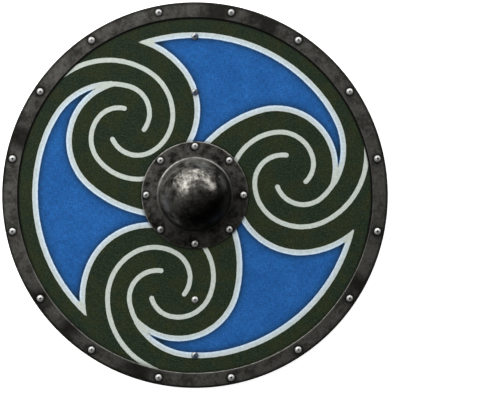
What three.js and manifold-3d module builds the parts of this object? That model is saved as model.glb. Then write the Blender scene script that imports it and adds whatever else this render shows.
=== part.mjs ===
// A round wooden shield: a flat board inside a folded steel rim, with a domed steel boss over
// the hand hole and a wooden grip bar riveted across the back.
//
// It lies face up on the grip bar. +Z is the way the painted face looks, +Y is up when the
// shield is held, and the origin is the middle of the bar's back, where the shield rests.
// All sizes are in millimetres.

import * as THREE from "three";
import { mergeVertices } from "three/addons/utils/BufferGeometryUtils.js";
import Module from "manifold-3d";

// Board and rim
const shieldRadius = 305;
const boardThickness = 10;
const rimWidth = 24;
const rimSheet = 1.2;
const rimFoldInside = 1.2; // inside radius of the two folds at the shield's edge

// Boss
const domeRadius = 57;
const domeRise = 52; // from the flange's face to the top of the dome
const domeFillet = 4; // where the dome's wall turns out into the flange
const flangeWidth = 27.5; // from the dome's wall to the flange's edge
const bossSheet = 1.6;

// Grip bar
const gripWidth = 32;
const gripHandWidth = 27; // where the hand closes round it
const gripThickness = 16;
const gripTaper = 20; // the stretch over which it widens, inside the hand hole
const gripEdgeRound = 2;
const gripHandRound = 6;
const gripCornerRadius = 10;
const gripEndChamfer = 5;
const gripEndGap = 13; // from the bar's end to the rim's inner edge

// Rivets
const rimRivetCount = 16;
const rimRivetInset = 11; // from the shield's edge
const bossRivetCount = 8;
const bossRivetInset = 7.5; // from the flange's edge
const gripRivetInsetHigh = 17.5; // from the bar's upper end
const gripRivetInsetLow = 14.5; // from its lower end, where they were set a little further out
const gripRivetSpacing = 88; // between the two rivets at each end of the bar
const rivetHeadRadius = 5.5;
const rivetHeadRise = 3.6;
const rivetShankRadius = 2.4;
const rivetTailFlare = 1.8; // how far a hammered tail spreads past the shank
const rivetTailRise = 1.6;
const rivetFlareDepth = 2.6; // of the tails that are hammered into the bar's countersinks

// Clearance between pieces that touch, and the number of flats that stand for a circle
const fitGap = 0.3;
const shieldFlats = 64;
const bossFlats = 40;
const rivetFlats = 8;
const cutMargin = 1; // how far a cutting shape runs past the faces that it cuts

// Heights of the stack, from the bar's back to the boss
const gripFront = gripThickness;
const boardBack = gripFront + fitGap;
const boardFront = boardBack + boardThickness;
const rimBackInside = boardBack - fitGap;
const rimBackFace = rimBackInside - rimSheet;
const rimFrontInside = boardFront + fitGap;
const rimFrontFace = rimFrontInside + rimSheet;
const flangeSeat = boardFront + fitGap;
const flangeFace = flangeSeat + bossSheet;

// Radii and lengths that follow from the sizes above
const rimInnerRadius = shieldRadius - rimWidth;
const rimFold = rimFoldInside + rimSheet;
const boardRadius = shieldRadius - rimFold - fitGap;
const handHoleRadius = domeRadius;
const bossRadius = domeRadius + flangeWidth;
const gripHalfLength = rimInnerRadius - gripEndGap;
const rimRivetCircle = shieldRadius - rimRivetInset;
const bossRivetCircle = bossRadius - bossRivetInset;
const gripRivetHigh = gripHalfLength - gripRivetInsetHigh;
const gripRivetLow = gripRivetInsetLow - gripHalfLength;
const rivetTailRadius = rivetShankRadius + rivetTailFlare;
const rivetPlay = fitGap / Math.cos(Math.PI / rivetFlats);
const rivetHoleRadius = rivetShankRadius + rivetPlay;

const wasm = await Module();
wasm.setup();

// A closed three.js geometry as a solid that can be cut.
function solidOf(geometry) {
  const bare = geometry.clone();
  bare.deleteAttribute("normal");
  bare.deleteAttribute("uv");
  const merged = mergeVertices(bare, 1e-4);
  const mesh = new wasm.Mesh({
    numProp: 3,
    vertProperties: new Float32Array(merged.attributes.position.array),
    triVerts: new Uint32Array(merged.index.array),
  });
  return new wasm.Manifold(mesh);
}

// A cut solid as a three.js geometry with flat faces.
function geometryOf(solid) {
  const mesh = solid.getMesh();
  const positions = new Float32Array(mesh.numVert * 3);
  for (let i = 0; i < mesh.numVert; i++) {
    const start = i * mesh.numProp;
    positions.set(mesh.vertProperties.subarray(start, start + 3), i * 3);
  }
  const indexed = new THREE.BufferGeometry();
  indexed.setAttribute("position", new THREE.BufferAttribute(positions, 3));
  indexed.setIndex(new THREE.BufferAttribute(new Uint32Array(mesh.triVerts), 1));
  const flat = indexed.toNonIndexed();
  flat.computeVertexNormals();
  return flat;
}

// Points along an elliptical arc in the plane of radius and height, angles in degrees.
function arc(centreRadius, centreHeight, radiusReach, heightReach, from, to, steps) {
  const points = [];
  for (let i = 0; i <= steps; i++) {
    const angle = THREE.MathUtils.degToRad(from + ((to - from) * i) / steps);
    const radius = centreRadius + radiusReach * Math.cos(angle);
    points.push([Math.max(radius, 0), centreHeight + heightReach * Math.sin(angle)]);
  }
  return points;
}

// A turned solid about +Z, from [radius, height] pairs that run anticlockwise.
function turned(profile, flats) {
  const points = profile.map(([radius, height]) => new THREE.Vector2(radius, height));
  const geometry = new THREE.LatheGeometry(points, flats);
  geometry.rotateX(Math.PI / 2);
  return geometry;
}

// A set of places on a circle, counted round from the top of the shield.
function circlePlaces(count, radius, turn) {
  const places = [];
  for (let i = 0; i < count; i++) {
    const angle = Math.PI / 2 + turn - (i * 2 * Math.PI) / count;
    places.push([radius * Math.cos(angle), radius * Math.sin(angle)]);
  }
  return places;
}

const rimRivetPlaces = circlePlaces(rimRivetCount, rimRivetCircle, -Math.PI / rimRivetCount);
const bossRivetPlaces = circlePlaces(bossRivetCount, bossRivetCircle, 0);
const gripRivetPlaces = [
  [0, gripRivetHigh],
  [0, gripRivetHigh - gripRivetSpacing],
  [0, gripRivetLow + gripRivetSpacing],
  [0, gripRivetLow],
];

// Whether a rivet at this place goes on through the grip bar.
function throughGrip([x, y]) {
  return Math.abs(x) < gripWidth / 2 - rivetTailRadius && Math.abs(y) < gripHalfLength;
}

// Cuts a rivet hole at each place, through everything between two heights.
function drill(solid, places, low, high) {
  let cut = solid;
  for (const [x, y] of places) {
    const profile = [
      [0, low - cutMargin],
      [rivetHoleRadius, low - cutMargin],
      [rivetHoleRadius, high + cutMargin],
      [0, high + cutMargin],
    ];
    const hole = turned(profile, rivetFlats);
    hole.translate(x, y, 0);
    cut = cut.subtract(solidOf(hole));
  }
  return cut;
}

// The board: a plain disc with the hand hole behind the boss.
function makeBoard() {
  const profile = [
    [handHoleRadius, boardBack],
    [boardRadius, boardBack],
    [boardRadius, boardFront],
    [handHoleRadius, boardFront],
    [handHoleRadius, boardBack],
  ];
  const places = [...rimRivetPlaces, ...bossRivetPlaces, ...gripRivetPlaces];
  const disc = solidOf(turned(profile, shieldFlats));
  return geometryOf(drill(disc, places, boardBack, boardFront));
}

// The rim: sheet steel folded round the board's edge, open towards the middle.
function makeRim() {
  const foldCentre = shieldRadius - rimFold;
  const backCentre = rimBackFace + rimFold;
  const frontCentre = rimFrontFace - rimFold;
  const profile = [
    [rimInnerRadius, rimBackFace],
    ...arc(foldCentre, backCentre, rimFold, rimFold, -90, 0, 2),
    ...arc(foldCentre, frontCentre, rimFold, rimFold, 0, 90, 2),
    [rimInnerRadius, rimFrontFace],
    [rimInnerRadius, rimFrontInside],
    ...arc(foldCentre, frontCentre, rimFoldInside, rimFoldInside, 90, 0, 1),
    ...arc(foldCentre, backCentre, rimFoldInside, rimFoldInside, 0, -90, 1),
    [rimInnerRadius, rimBackInside],
    [rimInnerRadius, rimBackFace],
  ];
  const ring = solidOf(turned(profile, shieldFlats));
  return geometryOf(drill(ring, rimRivetPlaces, rimBackFace, rimFrontFace));
}

// The boss: a hollow dome of sheet steel that turns out into a flat flange.
function makeBoss() {
  const filletRadius = domeRadius + domeFillet;
  const spring = flangeFace + domeFillet; // where the dome's wall begins
  const rise = domeRise - domeFillet;
  const inside = domeFillet + bossSheet;
  const profile = [
    ...arc(0, spring, domeRadius - bossSheet, rise - bossSheet, 90, 0, 6),
    ...arc(filletRadius, spring, inside, inside, 180, 270, 2).slice(1),
    [bossRadius, flangeSeat],
    [bossRadius, flangeFace],
    ...arc(filletRadius, spring, domeFillet, domeFillet, 270, 180, 2),
    ...arc(0, spring, domeRadius, rise, 0, 90, 7).slice(1),
  ];
  const shell = solidOf(turned(profile, bossFlats));
  return geometryOf(drill(shell, bossRivetPlaces, flangeSeat, flangeFace));
}

// The grip bar's section at a place along it: half its width, the rounding of its edges and
// how far its back is lifted by the chamfer at its end.
function gripSection(y) {
  const along = Math.abs(y);
  const spread = THREE.MathUtils.smoothstep(along, handHoleRadius - gripTaper, handHoleRadius);
  const width = THREE.MathUtils.lerp(gripHandWidth, gripWidth, spread);
  const round = THREE.MathUtils.lerp(gripHandRound, gripEdgeRound, spread);
  const corner = Math.min(gripCornerRadius, 0.8 * (gripWidth / 2));
  const cornerDepth = Math.max(corner - (gripHalfLength - along), 0);
  const cornerCut = corner - Math.sqrt(corner ** 2 - cornerDepth ** 2);
  return {
    halfWidth: width / 2 - cornerCut,
    round: Math.min(round, 0.4 * gripThickness),
    backLift: Math.max(gripEndChamfer - (gripHalfLength - along), 0),
  };
}

// The outline of one section, anticlockwise as seen from its +Y side, as [x, z] pairs.
function gripOutline({ halfWidth, round, backLift }) {
  const side = halfWidth - round;
  const corners = [
    [side, backLift + round, -90],
    [side, gripFront - round, 0],
    [-side, gripFront - round, 90],
    [-side, backLift + round, 180],
  ];
  const outline = [];
  for (const [x, z, start] of corners) {
    for (const turn of [0, 45, 90]) {
      const angle = THREE.MathUtils.degToRad(start + turn);
      outline.push([x + round * Math.cos(angle), z + round * Math.sin(angle)]);
    }
  }
  return outline;
}

// A countersunk hole for a tail that is hammered flush into the bar's back.
function countersink([x, y]) {
  const flare = rivetTailRadius + rivetPlay;
  const profile = [
    [0, -cutMargin],
    [flare, -cutMargin],
    [flare, fitGap],
    [rivetHoleRadius, rivetFlareDepth + fitGap],
    [rivetHoleRadius, gripFront + cutMargin],
    [0, gripFront + cutMargin],
  ];
  const hole = turned(profile, rivetFlats);
  hole.translate(x, y, 0);
  return solidOf(hole);
}

// The grip bar: straight and flat-backed, narrower and rounder where the hand holds it.
function makeGrip() {
  const fromEnd = [0, 0.15 * gripCornerRadius, gripEndChamfer, gripCornerRadius];
  const half = fromEnd.map((distance) => gripHalfLength - distance);
  for (const share of [0, 0.25, 0.5, 0.75, 1]) {
    half.push(handHoleRadius - gripTaper * share);
  }
  const stations = [...half.map((y) => -y), ...half].sort((a, b) => a - b);
  const rings = stations.map((y) => gripOutline(gripSection(y)).map(([x, z]) => [x, y, z]));
  const corners = rings[0].length;
  const index = [];
  for (let ring = 0; ring + 1 < rings.length; ring++) {
    for (let i = 0; i < corners; i++) {
      const a = ring * corners + i;
      const b = ring * corners + ((i + 1) % corners);
      index.push(a, a + corners, b, b, a + corners, b + corners);
    }
  }
  const last = (rings.length - 1) * corners;
  for (let i = 1; i + 1 < corners; i++) {
    index.push(0, i, i + 1);
    index.push(last, last + i + 1, last + i);
  }
  const bar = new THREE.BufferGeometry();
  bar.setAttribute("position", new THREE.Float32BufferAttribute(rings.flat(2), 3));
  bar.setIndex(index);
  let solid = solidOf(bar);
  for (const place of [...bossRivetPlaces.filter(throughGrip), ...gripRivetPlaces]) {
    solid = solid.subtract(countersink(place));
  }
  return geometryOf(solid);
}

// A round-headed rivet. Its tail is a flat button under tailSeat, or hammered into the bar.
function makeRivet(headSeat, tailSeat, flushTail) {
  const head = headSeat + fitGap;
  const buttonTop = tailSeat - fitGap;
  const tail = flushTail
    ? [
        [0, fitGap],
        [rivetTailRadius, fitGap],
        [rivetShankRadius, rivetFlareDepth + fitGap],
      ]
    : [
        [0, buttonTop - rivetTailRise],
        [0.75 * rivetTailRadius, buttonTop - rivetTailRise],
        [rivetTailRadius, buttonTop],
        [rivetShankRadius, buttonTop],
      ];
  const profile = [
    ...tail,
    [rivetShankRadius, head],
    ...arc(0, head, rivetHeadRadius, rivetHeadRise, 0, 90, 2),
  ];
  return turned(profile, rivetFlats);
}

// Materials
const paintedWood = new THREE.MeshStandardMaterial({ color: 0x25609f, roughness: 0.75, metalness: 0 });
const bareWood = new THREE.MeshStandardMaterial({ color: 0xa98455, roughness: 0.65, metalness: 0 });
const rimSteel = new THREE.MeshStandardMaterial({ color: 0x43423f, roughness: 0.55, metalness: 0.9 });
const bossSteel = new THREE.MeshStandardMaterial({ color: 0x36322f, roughness: 0.4, metalness: 0.9 });
const rivetSteel = new THREE.MeshStandardMaterial({ color: 0xc9c9c6, roughness: 0.25, metalness: 1 });

const shield = new THREE.Group();
shield.name = "round_shield";

function addPiece(parent, name, geometry, material) {
  const mesh = new THREE.Mesh(geometry, material);
  mesh.name = name;
  parent.add(mesh);
  return mesh;
}

// One rivet at each place, numbered clockwise from the top as the face is seen.
function addRivets(groupName, places, headSeat, tailSeat) {
  const group = new THREE.Group();
  group.name = `${groupName}s`;
  places.forEach((place, i) => {
    const geometry = makeRivet(headSeat, tailSeat, throughGrip(place));
    const number = String(i + 1).padStart(2, "0");
    const rivet = addPiece(group, `${groupName}_${number}`, geometry, rivetSteel);
    rivet.position.set(place[0], place[1], 0);
  });
  shield.add(group);
}

addPiece(shield, "board", makeBoard(), paintedWood);
addPiece(shield, "rim", makeRim(), rimSteel);
addPiece(shield, "boss", makeBoss(), bossSteel);
addPiece(shield, "grip_bar", makeGrip(), bareWood);
addRivets("rim_rivet", rimRivetPlaces, rimFrontFace, rimBackFace);
addRivets("boss_rivet", bossRivetPlaces, flangeFace, boardBack);
addRivets("grip_rivet", gripRivetPlaces, boardFront, boardBack);

export default shield;
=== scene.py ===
# %% [markdown]
# A painted round shield, lying face up on its grip bar.
#
# The plain model of the shield is already there, at its real size. We load it first, because
# every finer piece that we make takes its place from it. +Z is the way the painted face looks
# and +Y is up when the shield is held. Blender counts in metres, and a maker in millimetres,
# so we keep one value, mm, and write every size as so many times mm.

# %% Load the plain model
import bpy
import numpy as np
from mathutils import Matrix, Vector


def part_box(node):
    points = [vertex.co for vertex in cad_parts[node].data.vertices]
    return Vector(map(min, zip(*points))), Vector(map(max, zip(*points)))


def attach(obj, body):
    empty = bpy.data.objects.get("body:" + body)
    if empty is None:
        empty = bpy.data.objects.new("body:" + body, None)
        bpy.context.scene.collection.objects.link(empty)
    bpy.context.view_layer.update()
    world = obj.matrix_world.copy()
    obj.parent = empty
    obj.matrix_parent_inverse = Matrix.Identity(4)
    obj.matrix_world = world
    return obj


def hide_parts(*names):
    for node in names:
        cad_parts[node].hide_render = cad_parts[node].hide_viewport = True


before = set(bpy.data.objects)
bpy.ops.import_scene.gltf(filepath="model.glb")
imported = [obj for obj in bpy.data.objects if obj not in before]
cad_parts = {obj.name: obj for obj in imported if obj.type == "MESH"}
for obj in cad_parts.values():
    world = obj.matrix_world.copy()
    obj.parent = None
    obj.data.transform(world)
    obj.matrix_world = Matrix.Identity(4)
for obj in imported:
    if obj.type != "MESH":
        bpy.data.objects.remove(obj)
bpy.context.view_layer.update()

mm = 0.001


def node_box(node):
    """The lowest and highest corner of one plain piece, as arrays."""
    low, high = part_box(node)
    return np.array(low), np.array(high)


board_low, board_high = node_box("board")
rim_low, rim_high = node_box("rim")
boss_low, boss_high = node_box("boss")
bar_low, bar_high = node_box("grip_bar")
shield_radius = rim_high[0]
print("plain pieces:", len(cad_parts), "shield radius in mm:", round(shield_radius / mm, 1))

# %% [markdown]
# The camera. The picture was taken straight down on the face, with the shield left of the
# middle. A camera close by would make the dome lean outwards. A long lens from far away
# doesn't, so we put the camera high over the middle of the picture and choose the lens from
# the width of the picture at the shield's face.

# %% Place the camera
picture_width = 789.9 * mm
picture_middle_x = 87.0 * mm
picture_middle_y = -9.4 * mm
camera_height = 4.5
sensor = 36.0


def new_object(name, data):
    """An object in the scene that shows a mesh, or is a light or a camera."""
    made = bpy.data.objects.new(name, data)
    bpy.context.scene.collection.objects.link(made)
    return made


camera = new_object("camera", bpy.data.cameras.new("camera"))
camera.data.sensor_width = sensor
camera.data.lens = sensor * (camera_height - rim_high[2]) / picture_width
camera.location = (picture_middle_x, picture_middle_y, camera_height)
bpy.context.scene.camera = camera
print("lens in mm:", round(camera.data.lens, 1))

# %% [markdown]
# Most pieces of a shield are turned or bent round one axis, so one way of making a mesh does
# for all of them. A profile is a row of points, each a radius and a height. A modifier could
# spin it round the axis. We carry it round ourselves, because that gives a grid of points,
# rows along the profile and columns round the axis, and such a grid can be dented or bent as
# a whole array before it becomes a mesh.

# %% Turn profiles into grids
def arc(centre_r, centre_z, reach_r, reach_z, start, end, steps):
    """Points on an elliptical arc: the centre plus the reach times cosine and sine of the angle."""
    angle = np.radians(np.linspace(start, end, steps + 1))
    radius = np.maximum(centre_r + reach_r * np.cos(angle), 0)
    return np.column_stack([radius, centre_z + reach_z * np.sin(angle)])


def line(start, end, steps):
    """Evenly spaced points from start up to, but not including, end."""
    share = np.arange(steps)[:, None] / steps
    return np.array(start) + share * (np.array(end) - np.array(start))


def turned_grid(profile, around):
    """x is radius times the cosine of the turn, y is radius times its sine, z is the height."""
    turn = np.arange(around) * 2 * np.pi / around
    radius, height = profile[:, 0][:, None], profile[:, 1][:, None]
    flat = np.ones(around)
    return np.stack([radius * np.cos(turn), radius * np.sin(turn), height * flat], axis=-1)


def from_middle(grid):
    """The distance of each point from the shield's axis, or from a rivet's own."""
    return np.linalg.norm(grid[..., :2], axis=-1)


print("a quarter circle in 2 steps:", arc(0, 0, 1, 1, 0, 90, 2).round(2).tolist())

# %% [markdown]
# A grid becomes a mesh by joining each point to its neighbours. The columns always close on
# themselves. The rows either close too, as on a ring, or they end in a pole at each end, as
# on a rivet. Each four-sided face is listed so that it looks outwards. At a pole two of its
# corners are the same point, so it becomes a triangle.

# %% Make a mesh from a grid
def piece_from_grid(name, grid, ring, marks):
    """A closed mesh from rows and columns of points. ring says that the last row meets the
    first one; otherwise the first and last rows each shrink to a single point. marks are
    named values, one for each grid point, which the finishes read."""
    rows, columns = grid.shape[:2]
    index = np.arange(rows * columns).reshape(rows, columns)
    if not ring:
        index[0] = index[0, 0]
        index[-1] = index[-1, 0]
    below = index if ring else index[:-1]
    above = np.roll(index, -1, axis=0) if ring else index[1:]
    corners = [below, np.roll(below, -1, axis=1), np.roll(above, -1, axis=1), above]
    used, faces = np.unique(np.stack(corners, axis=-1).reshape(-1, 4), return_inverse=True)
    faces = faces.reshape(-1, 4)
    doubled = faces == np.roll(faces, -1, axis=1)
    at_pole = doubled.any(axis=1)
    triangles = faces[at_pole][~doubled[at_pole]].reshape(-1, 3)
    mesh = bpy.data.meshes.new(name)
    mesh.from_pydata(grid.reshape(-1, 3)[used], [], faces[~at_pole].tolist() + triangles.tolist())
    mesh.polygons.foreach_set("use_smooth", np.ones(len(mesh.polygons), bool))
    for mark, values in marks.items():
        layer = mesh.attributes.new(mark, "FLOAT", "POINT")
        layer.data.foreach_set("value", values.ravel()[used])
    mesh.update()
    print(name, "points:", len(used), "faces:", len(mesh.polygons))
    return new_object(name, mesh)


def put_in_place(piece, node):
    """The piece stands for one plain piece, which is hidden, and it is attached to the root body."""
    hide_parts(node)
    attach(piece, "root")


# %% [markdown]
# Nothing made by hand is quite even. Hammer marks, a wavy edge or a slight hollow can all be
# the sum of a few waves that run in chance directions. The seed is fixed, so the shield is the
# same each time. Two more curves say where such a thing begins and ends: a smooth step and a
# bell.

# %% Make surfaces a little uneven
wave_count = 24


def uneven(points, wavelength, seed):
    """The sum of sines of the distance along chance directions, scaled to about -1 to 1."""
    chance = np.random.default_rng(seed)
    directions = chance.normal(size=(wave_count, 3))
    directions /= np.linalg.norm(directions, axis=1)[:, None]
    lengths = wavelength * chance.uniform(0.7, 1.5, wave_count)
    phases = chance.uniform(0, 2 * np.pi, wave_count)
    swing = np.zeros(points.shape[:-1])
    for direction, length, phase in zip(directions, lengths, phases):
        swing += np.sin(points @ direction * 2 * np.pi / length + phase)
    return swing / np.sqrt(wave_count * 2)


def smooth_step(low, high, value):
    """0 below low, 1 above high, and an even S-shaped rise between them."""
    share = np.clip((value - low) / (high - low), 0, 1)
    return share * share * (3 - 2 * share)


def bell(value, width):
    """1 where the value is 0, and the exponential of minus (value / width) squared beside it."""
    return np.exp(-(value / width) ** 2)


print("a smooth step at a quarter, and a bell at its width:", smooth_step(0, 1, 0.25), bell(1, 1).round(2))

# %% [markdown]
# The painted pattern. Three spirals turn about the boss, and three blue fields lie between
# them. A painter would set it out with a compass, and so do we: each line is a chain of
# arcs that run into each other. One unit is drawn at the upper left, then turned twice, each
# time by about a third of a turn, as the painter did by eye. Sizes here are in millimetres
# and degrees. A chain is its start, its heading, and the radius and the turn of each arc, and
# every arc bends to the right.

# %% Set out the pattern with compass arcs
field_line = 8.6
spiral_line = 7.4
unit_turns = (0.0, 118.06, 237.75)
field_start = 126.0

outer_line = ((-168.6, -189.1), 137.6, ((258.5, 65.3), (205.2, 14.6), (102.9, 73.3), (43.8, 111.0)))
inner_line = ((-88.6, -26.0), 166.4, ((184.5, 27.8), (93.8, 85.9)))
side_line = ((-67.8, 237.6), 335.1, ((136.0, 25.7), (104.7, 63.5)))
spiral_from_rim = (
    (-223.2, 179.1), 35.8,
    ((400.0, 4.3), (118.7, 63.5), (81.5, 56.7), (66.5, 62.2), (43.8, 94.8)),
)
spiral_from_boss = ((-75.0, 26.3), 189.8, ((81.6, 60.4), (53.7, 80.3), (40.1, 62.6)))


def follow(start, heading, arcs):
    """Walks the arcs. Each centre lies one radius to the right of the pen, and the pen moves
    round it. Gives, for each arc, its centre, radius, start, heading, turn and end."""
    pen, angle, walked = np.array(start), np.radians(heading), []
    for radius, turn in arcs:
        centre = pen + radius * np.array([np.sin(angle), -np.cos(angle)])
        next_angle = angle - np.radians(turn)
        end = centre - radius * np.array([np.sin(next_angle), -np.cos(next_angle)])
        walked.append((centre, radius, pen, angle, np.radians(turn), end))
        pen, angle = end, next_angle
    return walked


print("the outer line ends, in mm, at:", follow(*outer_line)[-1][-1].round(1).tolist())

# %% [markdown]
# The paint needs to know, at each point of the board, how far the nearest line is. Outside a
# circle that distance is the distance to its centre less its radius. For a chain, the joint
# between two arcs says which circle counts.

# %% Measure distances to the painted lines
far_away = 1e9


def outside_of(places, walked):
    """How far each place lies outside the chain: distance to the centre less the radius, of
    the arc on whose side of the joints the place is."""
    centre, radius = walked[0][:2]
    gap = np.hypot(*(places - centre).T) - radius
    for centre, radius, joint, angle, turn, end in walked[1:]:
        past = (places - joint) @ np.array([np.cos(angle), np.sin(angle)]) > 0
        gap = np.where(past, np.hypot(*(places - centre).T) - radius, gap)
    return gap


def distance_to(places, walked):
    """The distance to the nearest point of the chain, round at its two ends."""
    nearest = np.full(len(places), far_away)
    for centre, radius, start, angle, turn, end in walked:
        arm = places - centre
        swept = (angle + np.pi / 2 - np.arctan2(arm[:, 1], arm[:, 0])) % (2 * np.pi)
        to_ends = np.minimum(np.hypot(*(places - start).T), np.hypot(*(places - end).T))
        to_curve = np.abs(np.hypot(*arm.T) - radius)
        nearest = np.minimum(nearest, np.where(swept <= turn, to_curve, to_ends))
    return nearest


def turned_back(places, degrees):
    """The places as seen by a unit that has been turned by so many degrees."""
    cos, sin = np.cos(np.radians(degrees)), np.sin(np.radians(degrees))
    return places @ np.array([[cos, -sin], [sin, cos]])


middle_gap = distance_to(np.zeros((1, 2)), follow(*inner_line))[0]
print("the inner line passes the middle at, in mm:", round(middle_gap, 1))

# %% [markdown]
# Now the marks that the paint reads. The first, field, is below zero inside a blue field and
# above zero outside it: a place is inside when it is inside the outer line, outside the
# spiral's inner line and outside the next unit's side line. Where two lines run together, the
# painter drew them thinner, to keep a sliver of blue between them, so the mark is lowered
# there. The others are the distance to the nearest spiral, and how dark the blue was shaded
# from the lines on all its sides.

# %% Work out the marks of the pattern
thinner_by = 1.0
runs_together = 4.0
fade = 4.5


def pattern_marks(places):
    """field is the greatest of three signed distances in each third of the board, less a bell
    curve of how much the next one falls short of it. shade is the sum, over the three lines,
    of an exponential of the distance to the line's edge: 1 on one line, 2 where two meet.
    spiral is the least distance to nine chains. Distances are in millimetres."""
    outer, inner, side = follow(*outer_line), follow(*inner_line), follow(*side_line)
    spirals = [follow(*spiral_from_rim), follow(*spiral_from_boss), outer[2:]]
    bearing = np.degrees(np.arctan2(places[:, 1], places[:, 0]))
    field, shade = np.zeros((2, len(places)))
    spiral = np.full(len(places), far_away)
    for unit, turn in enumerate(unit_turns):
        next_turn = unit_turns[(unit + 1) % len(unit_turns)]
        own, neighbour = turned_back(places, turn), turned_back(places, next_turn)
        for chain in spirals:
            spiral = np.minimum(spiral, distance_to(own, chain))
        edges = [outside_of(own, outer[:3]), -outside_of(own, inner), -outside_of(neighbour, side)]
        second, greatest = np.sort(edges, axis=0)[1:]
        thinner = thinner_by * bell(greatest - second, runs_together)
        greatest = greatest - thinner * np.clip(-greatest / field_line * 2, 0, 1)
        beside = np.exp(np.minimum(np.array(edges) + field_line / 2, 0) / fade).sum(axis=0)
        here = (bearing - field_start - turn) % 360 < (next_turn - turn) % 360
        field[here], shade[here] = greatest[here], beside[here]
    return {"field": field, "spiral": spiral, "shade": shade}


middle_marks = pattern_marks(np.zeros((1, 2)))
print("marks in the middle:", {name: round(values[0], 1) for name, values in middle_marks.items()})

# %% [markdown]
# The board is a flat wooden disc, faced with linen and painted in front, bare and oiled
# behind. Only its painted face needs many points, because the pattern's marks are kept on
# them, so the rings are close together there and few elsewhere. Its edge is slightly
# rounded, and it has a round hand hole behind the boss.

# %% Draw the board's profile
hand_hole = 57 * mm
rim_width = 24 * mm
boss_radius = boss_high[0]
rim_inner = shield_radius - rim_width
hidden_margin = 4 * mm
edge_round = 1.0 * mm
board_around = 720
board_front, board_back = board_high[2], board_low[2]
edge_r = board_high[0] - edge_round
hole_r = hand_hole + edge_round
front_z, back_z = board_front - edge_round, board_back + edge_round
shown_from = boss_radius - hidden_margin
shown_to = rim_inner + hidden_margin
face_rings = 98

board_profile = np.vstack([
    line((hole_r, board_back), (edge_r, board_back), 8),
    arc(edge_r, back_z, edge_round, edge_round, -90, 0, 2),
    arc(edge_r, front_z, edge_round, edge_round, 0, 90, 2),
    line((shown_to, board_front), (shown_from, board_front), face_rings),
    line((shown_from, board_front), (hole_r, board_front), 2),
    arc(hole_r, front_z, edge_round, edge_round, 90, 180, 2),
    arc(hole_r, back_z, edge_round, edge_round, 180, 270, 2)[:-1],
])
board_grid = turned_grid(board_profile, board_around)
print("rings on the painted face, in mm apart:", round((shown_to - shown_from) / face_rings / mm, 2))

# %% [markdown]
# Each point of the board keeps the pattern's marks and two more, which the painted shade and dirt read:
# how far it is from the middle, and whether it is on the side that lies lower in the picture.

# %% Make the board
def on_lower_side(grid):
    """1 on the side that lies lower in the picture and 0 on the other side, from the cosine of
    the angle between the point's direction and straight down."""
    far = np.maximum(from_middle(grid), mm)
    return smooth_step(0.1, 0.6, -grid[..., 1] / far)


painted_marks = pattern_marks(board_grid[..., :2].reshape(-1, 2) / mm)
board_marks = {name: values.reshape(board_grid.shape[:2]) for name, values in painted_marks.items()}
board_marks["from_centre"] = from_middle(board_grid) / mm
board_marks["lower_side"] = on_lower_side(board_grid)
board = piece_from_grid("painted_board", board_grid, ring=True, marks=board_marks)
put_in_place(board, "board")
in_blue = (board_marks["field"] < -field_line / 2).mean()
print("share of the board's points in blue:", round(in_blue, 3))

# %% [markdown]
# The rim is a strip of sheet steel, folded over the board's edge and dressed with a hammer.
# Its section is a U lying on its side. The folds are arcs, and the cut edges of the sheet are
# slightly rounded, so that they catch a thin line of light. The profile runs round the whole
# thickness of the sheet, outside and inside, so the mesh is closed without a modifier.

# %% Draw the rim's profile
sheet = 1.2 * mm
fold_inside = 1.2 * mm
fold = fold_inside + sheet
cut_round = 0.55 * mm
cut_flat = cut_round / 3
rim_around = 1080
rim_front, rim_back = rim_high[2], rim_low[2]
fold_r = shield_radius - fold
cut_r = rim_inner + cut_round

rim_profile = np.vstack([
    line((cut_r, rim_back), (fold_r, rim_back), 8),
    arc(fold_r, rim_back + fold, fold, fold, -90, 0, 6),
    arc(fold_r, rim_front - fold, fold, fold, 0, 90, 6),
    line((fold_r, rim_front), (cut_r, rim_front), 22)[1:],
    arc(cut_r, rim_front - cut_round, cut_round, cut_round, 90, 180, 4),
    arc(cut_r, rim_front - sheet + cut_flat, cut_round, cut_flat, 180, 270, 1)[1:],
    arc(fold_r, rim_front - fold, fold_inside, fold_inside, 90, 0, 3),
    arc(fold_r, rim_back + fold, fold_inside, fold_inside, 0, -90, 3),
    arc(cut_r, rim_back + sheet - cut_flat, cut_round, cut_flat, 90, 180, 1),
    arc(cut_r, rim_back + cut_round, cut_round, cut_round, 180, 270, 3)[:-1],
])
rim_grid = turned_grid(rim_profile, rim_around)
print("points round the rim's section:", len(rim_profile))

# %% [markdown]
# The strip's inner edge wavers a little, its front leaf is not quite flat, and the sheet is
# drawn in round each rivet, where the head was set. All three are small moves of the grid.
# The rivets' places come from the plain rivets.

# %% Dress the rim by hand
edge_waver = 0.0011
leaf_wave = 0.12 * mm


def rivets_of(kind):
    """The names of the plain rivets of one kind, in order."""
    return sorted(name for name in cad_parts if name.startswith(kind + "_rivet"))


def away_from(grid, node):
    """The distance of each point from the middle of one plain piece, seen from above."""
    low, high = node_box(node)
    return np.linalg.norm(grid[..., :2] - (low[:2] + high[:2]) / 2, axis=-1)


def draw_in(grid, nodes, depth, reach):
    """Lowers a sheet round each rivet by depth times a bell curve of the distance to it."""
    for node in nodes:
        grid[..., 2] -= depth * bell(away_from(grid, node), reach)


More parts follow.
